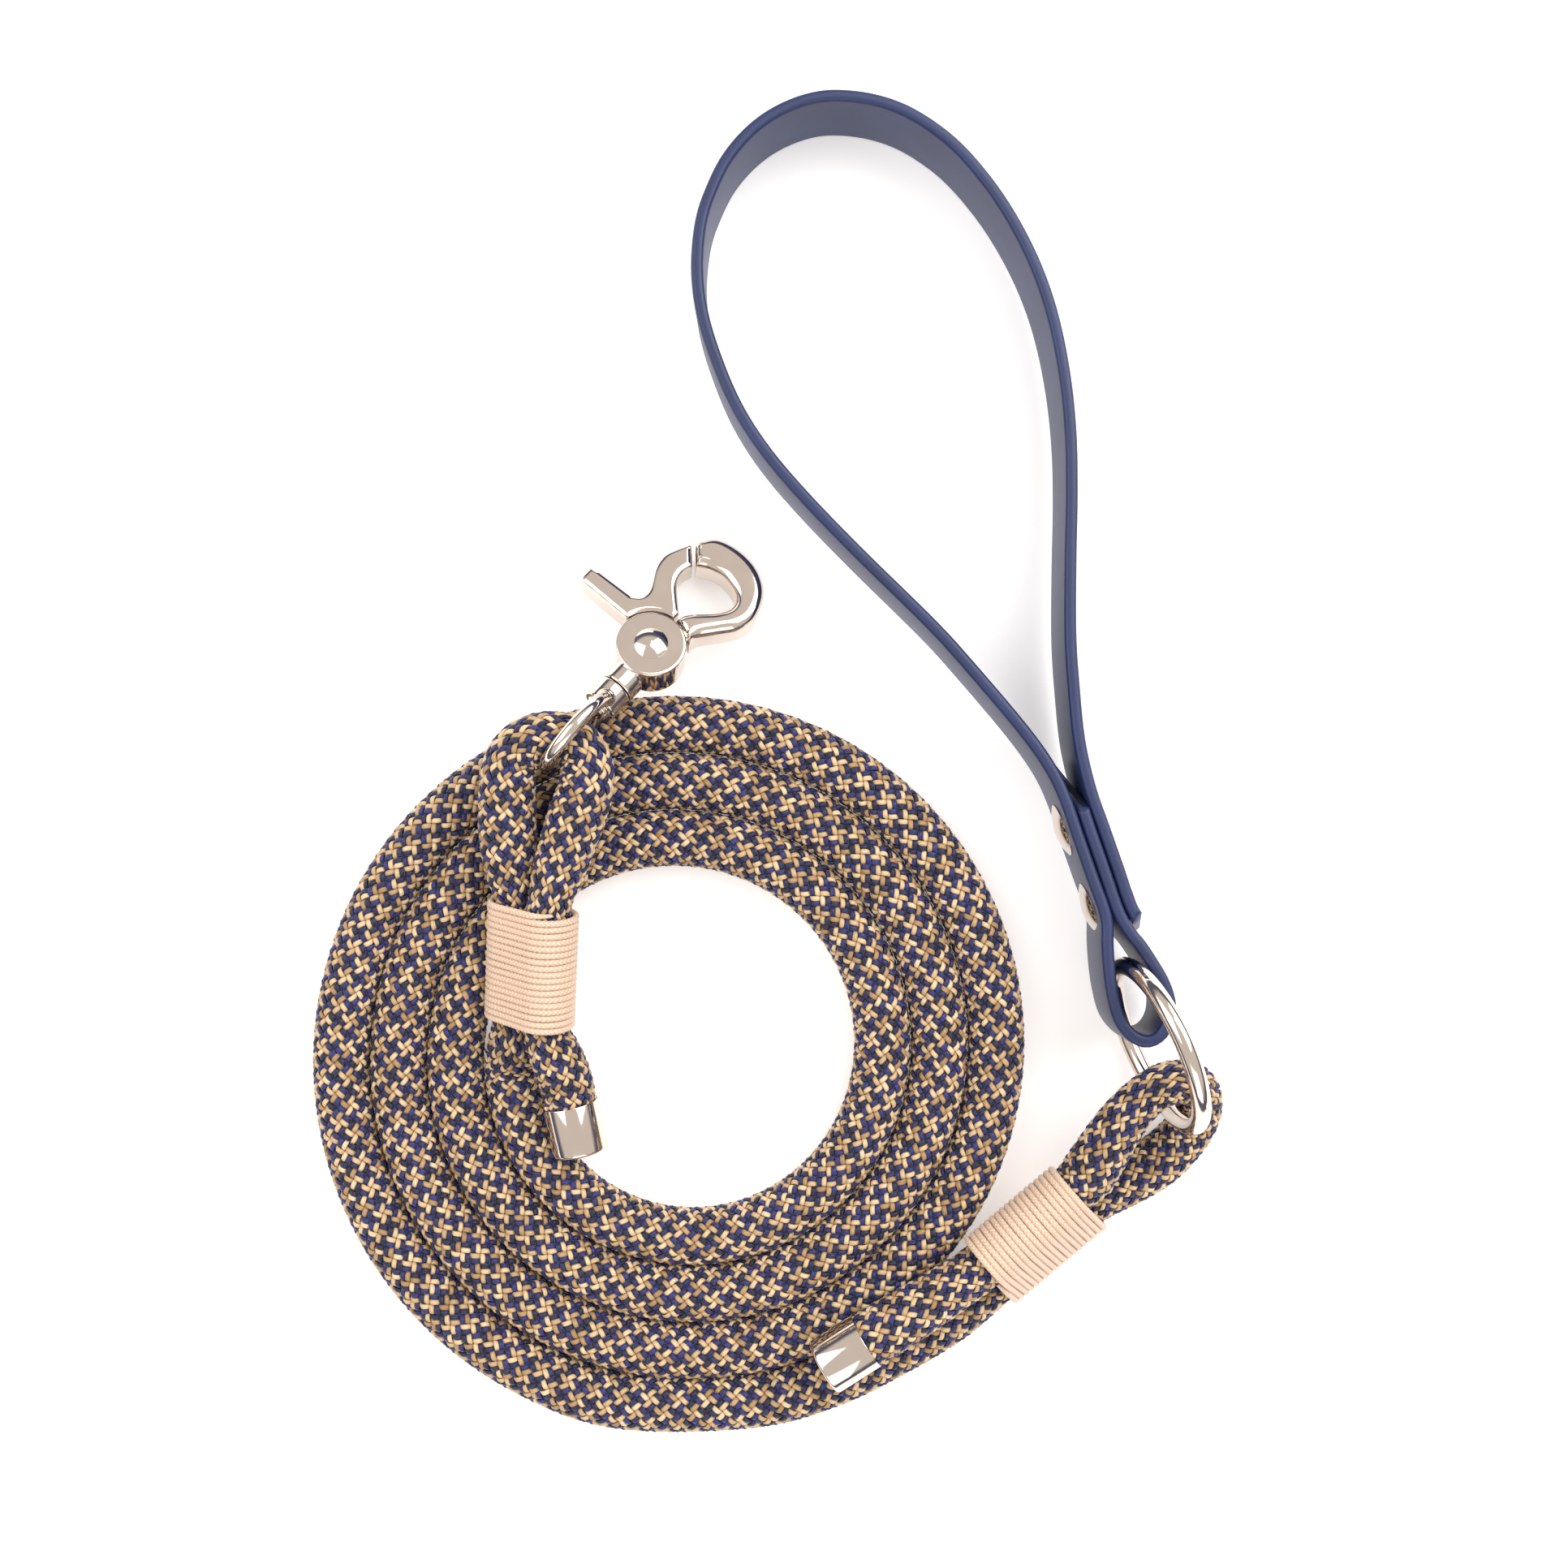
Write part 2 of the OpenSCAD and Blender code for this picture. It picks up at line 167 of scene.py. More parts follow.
last = len(RING_END_MM) - 1
radius_list = [
    (0, CAPPED_R_MM), (10, CAPPED_R_MM), (13, 5.6), (at_snap(4), 5.4),
    (at_snap(5) - 0.5, SNAP_WHIPPED_R_MM), (at_snap(7) + 0.5, SNAP_WHIPPED_R_MM),
    (at_snap(8) - 2, 5.4), (at_snap(9), ROPE_R_MM), (at_snap(11), 5.5),
    (at_snap(13), EYE_BEND_R_MM), (at_snap(14), EYE_BEND_R_MM), (at_snap(16), 5.5),
    (at_snap(18), ROPE_R_MM), (at_snap(19), 5.5), (at_snap(20) - 0.5, SNAP_WHIPPED_R_MM),
    (at_snap(22) + 0.5, SNAP_WHIPPED_R_MM), (at_snap(23), 5.2), (at_snap(25), ROPE_R_MM),
    (at_ring(3), ROPE_R_MM), (at_ring(4) - 0.5, RING_WHIPPED_R_MM),
    (at_ring(6) + 0.5, RING_WHIPPED_R_MM), (at_ring(8), 5.6), (at_ring(10), 5.0),
    (at_ring(12), 4.5), (at_ring(17), 4.45), (at_ring(19), 5.4), (at_ring(20), 5.7),
    (at_ring(21) - 0.5, RING_WHIPPED_R_MM), (at_ring(23) + 0.5, RING_WHIPPED_R_MM),
    (at_ring(25), 5.7), (at_ring(last) - 13, 5.6), (at_ring(last) - 10, CAPPED_R_MM),
    (at_ring(last), CAPPED_R_MM)]
rope_radius = np.interp(rope_along, *np.array(radius_list).T)
relax(rope_radius, 4)
print("rope radius in mm, least:", round(rope_radius.min(), 2), "most:",
      round(rope_radius.max(), 2))

# %% [markdown]
# ## A frame that travels with the rope
# The strands wind round the rope, so each place on the route needs a direction to measure
# their angle from. It is carried along the route without twisting, from one step to the next.
# %% The travelling frame


def unit(rows):
    return rows / np.linalg.norm(rows, axis=-1, keepdims=True)


def travelling_frame(line):
    """Along, outwards and across directions at each point of a line."""
    ahead = unit(np.gradient(line, axis=0))
    outward = np.zeros_like(line)
    start = np.cross(ahead[0], (0, 0, 1))
    outward[0] = start / np.linalg.norm(start)
    for i in range(1, len(line)):
        kept = outward[i - 1] - ahead[i] * np.dot(outward[i - 1], ahead[i])
        outward[i] = kept / np.linalg.norm(kept)
    return ahead, outward, np.cross(outward, ahead)


rope_ahead, rope_out, rope_across = travelling_frame(rope_line)


def on_rope(along, turn, rise):
    """Points at a length along the rope, an angle round it and a rise over its surface, in mm."""
    def pick(rows):
        return np.stack([np.interp(along, rope_along, rows[:, k]) for k in range(3)], -1)
    spoke = np.cos(turn)[..., None] * pick(rope_out) + np.sin(turn)[..., None] * pick(rope_across)
    reach = np.interp(along, rope_along, rope_radius) + rise
    return pick(rope_line) + reach[..., None] * spoke


print("steps in the frame:", len(rope_line))

# %% [markdown]
# ## Tools for the bench
# A few helpers serve every piece. They clear the selection, select edges by their place, make a
# mesh out of rows of points that go round a line, turn a piece's faces outwards, and give a
# finished piece its material and its body. A selection is always made in code and by place,
# because the order of a mesh's points may change and their places do not.
# %% Helpers for meshes


def start_clean():
    if bpy.context.mode != "OBJECT":
        bpy.ops.object.mode_set(mode="OBJECT")
    bpy.ops.object.select_all(action="DESELECT")


def select_edges(test):
    """In edit mode, selects the active piece's edges whose two ends pass the test."""
    bpy.ops.mesh.select_mode(type="EDGE")
    bpy.ops.mesh.select_all(action="DESELECT")
    sheet = bmesh.from_edit_mesh(bpy.context.object.data)
    for edge in sheet.edges:
        edge.select_set(bool(test(edge.verts[0].co, edge.verts[1].co)))
    bmesh.update_edit_mesh(bpy.context.object.data)


def new_piece(name, points, faces):
    mesh = bpy.data.meshes.new(name)
    mesh.from_pydata([tuple(p) for p in points], [], faces)
    piece = bpy.data.objects.new(name, mesh)
    bpy.context.scene.collection.objects.link(piece)
    return piece


def tube_piece(name, rings, closed_ends=True):
    """A skin over rings of points, which all have the same count. rings is rows x count x 3."""
    rows, count = rings.shape[:2]
    faces = []
    for i in range(rows - 1):
        for k in range(count):
            after = (k + 1) % count
            faces.append((i * count + k, (i + 1) * count + k,
                          (i + 1) * count + after, i * count + after))
    if closed_ends:
        faces.append(tuple(range(count)))
        faces.append(tuple((rows - 1) * count + k for k in range(count - 1, -1, -1)))
    piece = new_piece(name, rings.reshape(-1, 3) * MM, faces)
    layer = piece.data.uv_layers.new(name="wrap")
    spine = lengths_along(rings.mean(1))
    for loop in piece.data.loops:
        i, k = divmod(loop.vertex_index, count)
        layer.data[loop.index].uv = (spine[i], k / count)
    piece.data.shade_smooth()
    return piece


def make_outward(piece):
    start_clean()
    bpy.context.view_layer.objects.active = piece
    piece.select_set(True)
    bpy.ops.object.mode_set(mode="EDIT")
    bpy.ops.mesh.select_all(action="SELECT")
    bpy.ops.mesh.normals_make_consistent(inside=False)
    bpy.ops.object.mode_set(mode="OBJECT")


def finish_piece(piece, body, material, replaced=()):
    """Gives a piece its material and its body, and hides the CAD nodes that it stands for."""
    piece.data.materials.clear()
    piece.data.materials.append(material)
    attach(piece, body)
    if replaced:
        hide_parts(*replaced)
    return piece


print("helpers for meshes are ready")

# %% [markdown]
# ## Helpers for finishes
# Colours are written as the sRGB values that a paint chart gives, and one function makes them
# linear, which is what a shader wants.
# %% Helpers for materials


def linear(hex_colour):
    parts = [int(hex_colour[i:i + 2], 16) / 255 for i in (1, 3, 5)]
    parts = [x / 12.92 if x <= 0.04045 else ((x + 0.055) / 1.055) ** 2.4 for x in parts]
    return (*parts, 1)


def new_finish(name, colour, roughness, metallic=0.0, ior=1.5):
    material = bpy.data.materials.new(name)
    material.use_nodes = True
    shader = material.node_tree.nodes["Principled BSDF"]
    shader.inputs["Base Color"].default_value = linear(colour)
    shader.inputs["Roughness"].default_value = roughness
    shader.inputs["Metallic"].default_value = metallic
    shader.inputs["IOR"].default_value = ior
    return material, material.node_tree, shader


def add_node(tree, kind, inputs=None, **settings):
    """One node, with its settings and with what goes into its sockets."""
    node = tree.nodes.new(kind)
    for name, value in settings.items():
        setattr(node, name, value)
    for name, value in (inputs or {}).items():
        if isinstance(value, bpy.types.NodeSocket):
            tree.links.new(value, node.inputs[name])
        else:
            node.inputs[name].default_value = value
    return node


print("helpers for materials are ready")

# %% [markdown]
# ## Polyester strand
# The rope's strands are bundles of shiny polyester filament, dyed navy and tan. Each bundle
# has fine lines along it, and no two are quite the same shade. The lines read the strand's own
# UV map, whose first number goes across the strand.
# %% Strand finishes


def strand_finish(name, colour, pale, dark):
    material, tree, shader = new_finish(name, colour, 0.5)
    shade = add_node(tree, "ShaderNodeAttribute", attribute_name="shade")
    tint = add_node(tree, "ShaderNodeValToRGB", {"Fac": shade.outputs["Fac"]})
    tint.color_ramp.elements[0].color = linear(dark)
    tint.color_ramp.elements[1].color = linear(pale)
    middle = tint.color_ramp.elements.new(0.5)
    middle.color = linear(colour)
    tree.links.new(tint.outputs["Color"], shader.inputs["Base Color"])
    uv = add_node(tree, "ShaderNodeUVMap", uv_map="wrap")
    # Six lines across a strand of 1.1 mm: the real filaments are too fine to show.
    lines = add_node(tree, "ShaderNodeTexWave", {"Vector": uv.outputs["UV"], "Scale": 1.0,
                     "Distortion": 1.5, "Detail": 2.0, "Detail Scale": 3.0}, bands_direction="X")
    bump = add_node(tree, "ShaderNodeBump", {"Height": lines.outputs["Fac"], "Strength": 0.45,
                    "Distance": 0.00006})
    tree.links.new(bump.outputs["Normal"], shader.inputs["Normal"])
    shader.inputs["Sheen Weight"].default_value = 0.25
    shader.inputs["Sheen Roughness"].default_value = 0.4
    return material


navy_strand = strand_finish("polyester_strand_navy", "#1a1b48", "#25286a", "#0f1030")
tan_strand = strand_finish("polyester_strand_tan", "#c9a97e", "#dfc49c", "#9c7950")
rope_core_finish, core_tree, core_shader = new_finish("rope_core_shadow", "#15152c", 0.9)
grain = add_node(core_tree, "ShaderNodeTexNoise", {"Scale": 1800.0, "Detail": 2.0})
core_bump = add_node(core_tree, "ShaderNodeBump", {"Height": grain.outputs["Fac"],
                     "Strength": 0.4, "Distance": 0.0001})
core_tree.links.new(core_bump.outputs["Normal"], core_shader.inputs["Normal"])
print("strand finishes:", navy_strand.name, tan_strand.name)

# %% [markdown]
# ## The rope's core
# Under its braided sleeve the rope is a round core. It shows only as darkness between the
# strands, but it carries them.
# %% The core
SINK_MM = 0.85
CORE_STEP_MM = 2.5
CORE_SIDES = 18
core_steps = np.arange(0, ROPE_LENGTH_MM, CORE_STEP_MM)
core_steps = np.append(core_steps, ROPE_LENGTH_MM)
turns = np.linspace(0, 2 * math.pi, CORE_SIDES, endpoint=False)
core_rings = on_rope(core_steps[:, None].repeat(CORE_SIDES, 1),
                     turns[None, :].repeat(len(core_steps), 0), -SINK_MM)
rope_core = tube_piece("rope_core", core_rings)
make_outward(rope_core)
finish_piece(rope_core, "rope", rope_core_finish,
             ["rope_coil", "rope_snap_end", "rope_ring_end"])
print("core triangles:", 2 * len(rope_core.data.polygons))

# %% [markdown]
# ## One float of a strand
# In the braid each strand goes over two others, shows for a little over 2 mm, and dives again.
# That short visible bar is a float. One is modelled here, about 1.1 mm wide, with its back
# arched and its ends sunk. It starts as a five-sided bar, which keeps it to 22 faces, because
# the braid needs over twenty thousand of them.
# %% The float
FLOAT_LENGTH_MM = 2.5
FLOAT_WIDTH_MM = 1.12
start_clean()
bpy.ops.mesh.primitive_cylinder_add(vertices=5, radius=0.5, depth=FLOAT_LENGTH_MM,
                                    rotation=(0, math.pi / 2, 0), end_fill_type="NGON")
float_piece = bpy.context.object
bpy.ops.object.transform_apply(location=False, rotation=True, scale=True)
bpy.ops.object.mode_set(mode="EDIT")
select_edges(lambda one, other: abs(one.x - other.x) > 1)
bpy.ops.mesh.subdivide(number_cuts=3)
bpy.ops.object.mode_set(mode="OBJECT")
# At its ends a float dips under its neighbours and gets a little narrower.
DIP_MM = 0.8
END_NARROWING = 0.16
# Across the strand the bar gets a low round back and a flat belly, at each of five places.
PROFILE = [(-0.5, -0.36), (-0.36, -0.08), (0.0, 0.0), (0.36, -0.08), (0.5, -0.36)]
spots = np.array([p.co for p in float_piece.data.vertices])
from_below = (-math.pi / 2 - np.arctan2(spots[:, 2], spots[:, 1])) % (2 * math.pi)
for place in sorted(set(np.round(spots[:, 0], 3))):
    members = [i for i in np.argsort(from_below) if abs(spots[i, 0] - place) < 0.01]
    reach = 2 * place / FLOAT_LENGTH_MM
    drop = DIP_MM * abs(reach) ** 2.2
    narrow = 1 - END_NARROWING * abs(reach) ** 3
    for i, (y, z) in zip(members, PROFILE):
        spots[i] = (place, y * FLOAT_WIDTH_MM * narrow, z - drop)
float_piece.data.vertices.foreach_set("co", spots.ravel())
make_outward(float_piece)
print("float faces:", len(float_piece.data.polygons))

# %% [markdown]
# ## The braid
# Twenty-four pairs of strands wind round the core, half one way and half the other. Where two
# pairs cross, one lies on top as two floats side by side. Rows of twelve such crossings follow
# each other every 1.5 mm, and in each row the other family of strands is on top. One strand of
# every pair is navy and the other tan, in an order that swaps from pair to pair, which is what
# gives the little pinwheels. So the whole braid is the one float, laid by rule.
# %% Lay the floats
ROW_MM = 1.5
CROSSINGS = 12
HALF_PAIR_MM = 0.53
# Each row is turned half a crossing against the last, so places count in half crossings.
PLACE_DEGREES = 15.0
END_MARGIN_MM = 0.2
rows = np.arange(1, int(ROPE_LENGTH_MM / ROW_MM))
row, spoke = (x.ravel() for x in np.meshgrid(rows, np.arange(CROSSINGS), indexing="ij"))
place = 2 * spoke + row % 2
rising = row % 2 == 0
pair = np.where(rising, (place - row) // 2, (place + row) // 2)
body_points = spots.copy()
quads = [list(p.vertices) for p in float_piece.data.polygons]


STRANDS = {"navy": navy_strand, "tan": tan_strand}


def lay_floats(name, chosen_rows, colour):
    """Every float of one colour in a stretch of rows, as one mesh with its own UV map."""
    picked = (row >= chosen_rows[0]) & (row < chosen_rows[1])
    pieces = []
    for side in (-1, 1):
        first_colour = "navy" if side < 0 else "tan"
        wanted = (pair % 2 == 0) == (first_colour == colour)
        pick = picked & wanted
        slant = np.where(rising[pick], 1, -1)[:, None]
        x = body_points[None, :, 0]
        y = body_points[None, :, 1] + side * HALF_PAIR_MM
        c = math.sqrt(0.5)
        along = row[pick, None] * ROW_MM + c * x - slant * c * y
        round_mm = slant * c * x + c * y
        turn = np.radians(PLACE_DEGREES * place[pick, None]) + round_mm / ROPE_R_MM
        rise = np.broadcast_to(body_points[None, :, 2], along.shape)
        along = along.clip(END_MARGIN_MM, ROPE_LENGTH_MM - END_MARGIN_MM)
        pieces.append(on_rope(along, turn, rise))
    points = np.concatenate(pieces)
    count, each = points.shape[:2]
    mesh = bpy.data.meshes.new(name)
    mesh.vertices.add(count * each)
    mesh.vertices.foreach_set("co", (points * MM).astype(np.float32).ravel())
    flat = np.concatenate([np.array(q) for q in quads])
    sizes = np.array([len(q) for q in quads])
    loops = (flat[None, :] + each * np.arange(count)[:, None]).ravel()
    totals = np.tile(sizes, count)
    mesh.loops.add(len(loops))
    mesh.loops.foreach_set("vertex_index", loops)
    mesh.polygons.add(len(totals))
    mesh.polygons.foreach_set("loop_start", np.concatenate([[0], np.cumsum(totals)[:-1]]))
    mesh.polygons.foreach_set("loop_total", totals)
    layer = mesh.uv_layers.new(name="wrap")
    across = (body_points[flat, 1] / FLOAT_WIDTH_MM + 0.5,
              body_points[flat, 0] / FLOAT_LENGTH_MM + 0.5)
    number = np.arange(count)
    uv = np.stack([np.tile(across[0], count) + number.repeat(len(flat)) % 7,
                   np.tile(across[1], count)], -1)
    layer.data.foreach_set("uv", uv.astype(np.float32).ravel())
    shade = mesh.attributes.new("shade", "FLOAT", "POINT")
    # A sine scrambled by a large factor stands in for chance, and is the same on every run.
    toss = np.modf(np.abs(np.sin(number * 12.9898 + 4.1) * 43758.5453))[0]
    shade.data.foreach_set("value", toss.repeat(each).astype(np.float32))
    mesh.update(calc_edges=True)
    mesh.shade_smooth()
    piece = bpy.data.objects.new(name, mesh)
    bpy.context.scene.collection.objects.link(piece)
    return finish_piece(piece, "rope", STRANDS[colour])


STRETCHES = 5
cuts = np.linspace(rows[0], rows[-1] + 1, STRETCHES + 1).round().astype(int)
for number in range(STRETCHES):
    for colour in STRANDS:
        name = f"{colour}_strands_{number + 1}"
        lay_floats(name, cuts[number:number + 2], colour)
bpy.data.objects.remove(float_piece)

# %% [markdown]
# ## Whippings
# A whipping is a thin braided cord wound tightly round two runs of rope, with its ends tucked
# under. It is made as one long cord that follows the racetrack shape round both runs, and moves
# up by its own thickness on each turn. Small swellings along it are the plaits of its braid.
# %% Whipping cord
WHIP_CORD_MM = 1.3
WHIP_STEP_MM = 0.32
WHIP_SIDES = 10
WHIP_PLAIT_MM = 1.25
TUCKED_MM = 6


def whipping_cord(name, low_end, high_end, step, tight_mm, drift):
    """A cord wound round two runs of rope, from the low end to the high end of the whipping.
    step goes from one run's middle to the other's, tight_mm is the radius of a squeezed run,
    and drift shifts the small unevenness of the turns."""
    low, high, step = (np.array(x, float) for x in (low_end, high_end, step))
    ahead = unit(high - low)
    side = unit(step - ahead * np.dot(step, ahead))
    front = np.cross(ahead, side)
    half = np.linalg.norm(step) / 2
    reach = tight_mm + WHIP_CORD_MM / 2
    straight, bend = 2 * half, math.pi * reach
    lap = 2 * (straight + bend)
    laps = (np.linalg.norm(high - low) - WHIP_CORD_MM) / WHIP_CORD_MM
    run = np.arange(0, lap * laps, WHIP_STEP_MM)
    where = run % lap
    x, y = np.zeros_like(run), np.zeros_like(run)
    for first, sign in ((0, 1), (straight + bend, -1)):
        on_flat = (where >= first) & (where < first + straight)
        x[on_flat] = sign * (half - (where[on_flat] - first))
        y[on_flat] = sign * reach
        on_bend = (where >= first + straight) & (where < first + straight + bend)
        angle = (where[on_bend] - first - straight) / reach
        x[on_bend] = -sign * (half + reach * np.sin(angle))
        y[on_bend] = sign * reach * np.cos(angle)
    tuck = np.clip(np.minimum(run, run[-1] - run) / TUCKED_MM, 0, 1)
    squeeze = 1 - (1 - tuck) * 0.16
    climb = WHIP_CORD_MM / 2 + WHIP_CORD_MM * run / lap
    climb = climb + 0.05 * np.sin(run / 9 + drift) + 0.04 * np.sin(run / 3.7)
    line = low + climb[:, None] * ahead + (x * squeeze)[:, None] * side \
        + (y * squeeze)[:, None] * front
    _, outward, across = travelling_frame(line)
    turn = np.linspace(0, 2 * math.pi, WHIP_SIDES, endpoint=False)
    lag = 2.4 * np.abs(np.sin(turn * 1.5))
    plait = 0.055 * np.sin(2 * math.pi * run[:, None] / WHIP_PLAIT_MM + lag)
    girth = WHIP_CORD_MM / 2 * (1.02 + plait) * (0.55 + 0.45 * tuck[:, None])
    spoke = np.cos(turn)[None, :, None] * outward[:, None] \
        + np.sin(turn)[None, :, None] * across[:, None]
    piece = tube_piece(name, line[:, None] + girth[..., None] * spoke)
    make_outward(piece)
    return piece


whip_finish, tree, shader = new_finish("whipping_cord_polyester", "#dabfa6", 0.62)
uv = add_node(tree, "ShaderNodeUVMap", uv_map="wrap")
parts = add_node(tree, "ShaderNodeSeparateXYZ", {"Vector": uv.outputs["UV"]})
# The plaits lean one way on one half of the cord and the other way on the other half.
fold = add_node(tree, "ShaderNodeMath", {0: parts.outputs["Y"], 1: 0.125}, operation="PINGPONG")
lean = add_node(tree, "ShaderNodeMath", {0: fold.outputs["Value"], 1: 5.2, 2: parts.outputs["X"]},
                operation="MULTIPLY_ADD")
mixed = add_node(tree, "ShaderNodeCombineXYZ", {"X": lean.outputs["Value"]})
# One plait each 0.9 mm: a wave of scale 1 repeats each 0.314.
plaits = add_node(tree, "ShaderNodeTexWave", {"Vector": mixed.outputs["Vector"], "Scale": 0.36,
                  "Distortion": 0.4}, bands_direction="X")
# The plaits' hollows are painted darker and their crowns paler, following the same wave as the
# bump: painted shade and painted highlight on a cord of one colour.
plait_shade_ramp = add_node(tree, "ShaderNodeValToRGB", {"Fac": plaits.outputs["Fac"]})
plait_shade_ramp.color_ramp.elements[0].color = linear("#cba98f")
plait_shade_ramp.color_ramp.elements[1].color = linear("#e2c8b0")
plait_shade_ramp.color_ramp.elements[1].position = 0.6
tree.links.new(plait_shade_ramp.outputs["Color"], shader.inputs["Base Color"])
bump = add_node(tree, "ShaderNodeBump", {"Height": plaits.outputs["Fac"], "Strength": 0.3,
                "Distance": 0.00008})
tree.links.new(bump.outputs["Normal"], shader.inputs["Normal"])
shader.inputs["Sheen Weight"].default_value = 0.3
snap_whip = whipping_cord("snap_whipping_cord", (-68.8, -83.3, 14.8), (-67.2, -58.2, 20.2),
                          (7.2, 0, 5.6), 4.62, 0.0)
finish_piece(snap_whip, "rope", whip_finish, ["snap_whipping"])
ring_whip = whipping_cord("ring_whipping_cord", (24.5, -134.9, 10.5), (43.9, -118.7, 10.5),
                          (-3.6, 5, 8.2), 5.15, 2.0)
finish_piece(ring_whip, "rope", whip_finish, ["ring_whipping"])
print("whipping faces:", len(snap_whip.data.polygons), len(ring_whip.data.polygons))

# %% [markdown]
# ## Bright nickel
# The hardware is plated with polished nickel, which is a warm silver. A mirror shows whatever
# stands round it, so the finish itself is plain: faint smudges in its roughness, and a little
# unevenness left by the polishing wheel.
# %% Nickel and dark steel


def plated_finish(name, colour, low, high, uneven):
    """A metal whose roughness goes from low to high in its smudges."""
    material, tree, shader = new_finish(name, colour, low, metallic=1.0)
    place = add_node(tree, "ShaderNodeTexCoord")
    # Smudges a few millimetres across.
    smudge = add_node(tree, "ShaderNodeTexNoise", {"Vector": place.outputs["Object"],
                      "Scale": 260.0, "Detail": 3.0})
    rough = add_node(tree, "ShaderNodeMapRange", {"Value": smudge.outputs["Fac"], 1: 0.35, 2: 0.7,
                     3: low, 4: high})
    tree.links.new(rough.outputs["Result"], shader.inputs["Roughness"])
    ripple = add_node(tree, "ShaderNodeTexNoise", {"Vector": place.outputs["Object"],
                      "Scale": 420.0, "Detail": 1.0})
    bump = add_node(tree, "ShaderNodeBump", {"Height": ripple.outputs["Fac"], "Strength": uneven,
                    "Distance": 0.00004})
    tree.links.new(bump.outputs["Normal"], shader.inputs["Normal"])
    return material


nickel = plated_finish("polished_nickel_plate", "#d9cec4", 0.05, 0.13, 0.25)
dark_steel = plated_finish("spring_steel", "#8a8a8c", 0.22, 0.35, 0.3)
print("metals:", nickel.name, dark_steel.name)
for name, finish in (("swivel_post", nickel), ("trigger_rivet", nickel),
                     ("trigger_spring", dark_steel), ("o_ring", nickel),
                     ("rivet_posts", nickel), ("rivet_caps", nickel)):
    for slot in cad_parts[name].material_slots:
        slot.material = finish

# %% [markdown]
# ## The snap's own frame
# The snap hangs askew from the rope's loop: turned in plan, nose down, and rolled a little. It
# is easier to model it flat, in millimetres, with its hub at the origin and its hook towards
# +X, and then to lay the finished mesh in place.
# %% Frames of the eye and the snap
EYE_HANGS_AT_MM = (-59.7, -25.5, 22)
TURN_IN_PLAN = math.radians(49)
NOSE_DOWN = math.radians(20)
ROLL = math.radians(-10)
HUB_REACH_MM = 25
on_eye = Matrix.Translation(EYE_HANGS_AT_MM) @ Matrix.Rotation(TURN_IN_PLAN, 4, "Z") \
    @ Matrix.Rotation(NOSE_DOWN, 4, "Y") @ Matrix.Translation((HUB_REACH_MM, 0, 0))
on_snap = on_eye @ Matrix.Rotation(ROLL, 4, "X")
to_metres = Matrix.Scale(MM, 4)
print("snap's hub in mm:", [round(x, 1) for x in on_snap.translation])


def arc(x, y, r, first, last, steps=32):
    """Points on part of a circle, between two angles in degrees."""
    angles = np.radians(np.linspace(first, last, steps + 1))
    return [(x + r * math.cos(a), y + r * math.sin(a)) for a in angles]


def slab(outline, low, high, rounding, steps=3):
    """A flat outline in mm, made a slab from low to high with rounded edges."""
    curve = bpy.data.curves.new("slab", "CURVE")
    curve.dimensions = "2D"
    curve.fill_mode = "BOTH"
    spline = curve.splines.new("POLY")
    spline.points.add(len(outline) - 1)
    for point, (x, y) in zip(spline.points, outline):
        point.co = (x, y, 0, 1)
    spline.use_cyclic_u = True
    curve.extrude = (high - low) / 2 - rounding
    curve.bevel_depth = rounding
    curve.bevel_resolution = steps
    curve.offset = -rounding
    piece = bpy.data.objects.new("slab", curve)
    bpy.context.scene.collection.objects.link(piece)
    piece.location.z = (low + high) / 2
    start_clean()
    piece.select_set(True)
    bpy.context.view_layer.objects.active = piece
    bpy.ops.object.convert(target="MESH")
    bpy.ops.object.transform_apply(location=True, rotation=True, scale=True)
    return bpy.context.object


def barrel(begin, end, radius, rounding):
    """A round bar along X, in mm, with its rims rounded."""
    start_clean()
    bpy.ops.mesh.primitive_cylinder_add(vertices=64, radius=radius, depth=abs(end - begin),
                                        location=((begin + end) / 2, 0, 0),
                                        rotation=(0, math.pi / 2, 0))
    bpy.ops.object.transform_apply(location=True, rotation=True, scale=True)
    bpy.ops.object.mode_set(mode="EDIT")
    select_edges(lambda one, other: abs(one.x - other.x) < 1e-4)
    bpy.ops.mesh.bevel(offset=rounding, segments=3, affect="EDGES")
    bpy.ops.object.mode_set(mode="OBJECT")
    return bpy.context.object


def cast_together(name, parts, grid, soften, place):
    """Joins parts into one casting: remeshed as one skin, softened, and laid in place."""
    start_clean()
    for part in parts:
        part.select_set(True)
    bpy.context.view_layer.objects.active = parts[0]
    bpy.ops.object.join()
    casting = bpy.context.object
    casting.name = casting.data.name = name
    skin = casting.modifiers.new("one_skin", "REMESH")
    skin.mode = "VOXEL"
    skin.voxel_size = grid
    soft = casting.modifiers.new("polished_edges", "SMOOTH")
    soft.factor = 0.5
    soft.iterations = soften
    for modifier in ("one_skin", "polished_edges"):
        bpy.ops.object.modifier_apply(modifier=modifier)
    casting.data.transform(to_metres @ place)
    casting.data.shade_smooth()
    return casting


